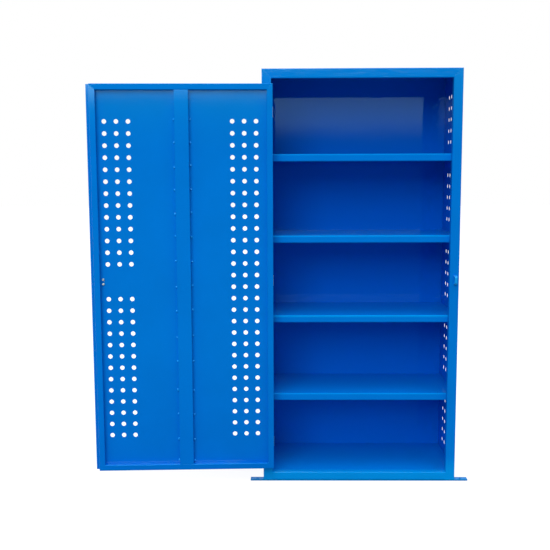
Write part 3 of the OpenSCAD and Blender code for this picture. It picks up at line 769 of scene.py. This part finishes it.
def makeFloor(look):
    size = look["floorSize"] / 2
    mesh = bpy.data.meshes.new("floor")
    corners = [(-size, -size, 0), (size, -size, 0), (size, size, 0), (-size, size, 0)]
    mesh.from_pydata(corners, [], [(0, 1, 2, 3)])
    obj = bpy.data.objects.new("floor", mesh)
    bpy.context.scene.collection.objects.link(obj)
    mat = bpy.data.materials.new("pale_floor")
    mat.use_nodes = True
    tree = mat.node_tree
    tree.nodes.clear()
    out = tree.nodes.new("ShaderNodeOutputMaterial")
    grey = tree.nodes.new("ShaderNodeBsdfDiffuse")
    pale = tree.nodes.new("ShaderNodeBsdfDiffuse")
    pale.inputs["Color"].default_value = (1, 1, 1, 1)
    white = tree.nodes.new("ShaderNodeEmission")
    white.inputs["Strength"].default_value = look["floorWhite"]
    seen = tree.nodes.new("ShaderNodeMixShader")
    seen.inputs["Fac"].default_value = look["shadowShare"]
    tree.links.new(white.outputs[0], seen.inputs[1])
    tree.links.new(pale.outputs[0], seen.inputs[2])
    place = tree.nodes.new("ShaderNodeSeparateXYZ")
    tree.links.new(tree.nodes.new("ShaderNodeTexCoord").outputs["Object"], place.inputs[0])

    def along(ends):
        span = tree.nodes.new("ShaderNodeMapRange")
        span.inputs["From Min"].default_value, span.inputs["From Max"].default_value = ends
        tree.links.new(place.outputs["Y"], span.inputs["Value"])
        return span.outputs[0]

    tones = [(0.0, look["floorNear"]), (1.0, look["floorFar"])]
    floorColour = rampNode(tree, along(look["nearEnds"]), tones)
    tree.links.new(floorColour, grey.inputs["Color"])
    dim = tree.nodes.new("ShaderNodeEmission")
    dim.inputs["Color"].default_value = (*look["floorInFront"], 1)
    mirrored = mixShaders(tree, along(look["frontFrom"]), seen.outputs[0], dim.outputs[0])
    soft = mixShaders(tree, anyOf(tree, "Is Glossy Ray", "Is Transmission Ray"), grey.outputs[0], mirrored)
    final = mixShaders(tree, anyOf(tree, "Is Camera Ray"), soft, seen.outputs[0])
    tree.links.new(final, out.inputs["Surface"])
    mesh.materials.append(mat)


def makeSky(look):
    world = bpy.data.worlds.new("soft_sky")
    bpy.context.scene.world = world
    world.use_nodes = True
    tree = world.node_tree
    tree.nodes.clear()
    out = tree.nodes.new("ShaderNodeOutputWorld")
    split = tree.nodes.new("ShaderNodeSeparateXYZ")
    tree.links.new(tree.nodes.new("ShaderNodeTexCoord").outputs["Generated"], split.inputs[0])
    height = mathNode(tree, "MULTIPLY_ADD", split.outputs["Z"], 0.5)
    height.node.inputs[2].default_value = 0.5
    lights = {}
    for kind in ("skyLight", "skyGloss"):
        sky = tree.nodes.new("ShaderNodeBackground")
        stops = [((at + 1) / 2, colour) for at, colour in look[kind]]
        tree.links.new(rampNode(tree, height, stops), sky.inputs["Color"])
        lights[kind] = sky.outputs[0]
    white = tree.nodes.new("ShaderNodeBackground")
    white.inputs["Color"].default_value = (1, 1, 1, 1)
    behind = mathNode(tree, "GREATER_THAN", split.outputs["Y"], 0.0)
    gloss = mixShaders(tree, behind, lights["skyGloss"], white.outputs[0])
    soft = mixShaders(tree, anyOf(tree, "Is Glossy Ray", "Is Transmission Ray"), lights["skyLight"], gloss)
    final = mixShaders(tree, anyOf(tree, "Is Camera Ray"), soft, white.outputs[0])
    tree.links.new(final, out.inputs["Surface"])


def makeSoftbox(look):
    data = bpy.data.lights.new("softbox", "AREA")
    data.shape = "RECTANGLE"
    data.size, data.size_y = look["size"]
    data.energy = look["power"]
    obj = bpy.data.objects.new("softbox", data)
    bpy.context.scene.collection.objects.link(obj)
    obj.location = look["place"]
    away = Vector(look["place"]) - Vector(look["aim"])
    obj.rotation_euler = away.to_track_quat("Z", "Y").to_euler()


makeFloor(stageLook)
makeSky(stageLook)
makeSoftbox(stageLook["softbox"])
bpy.context.scene.view_settings.view_transform = "Standard"
print("stage and light set")
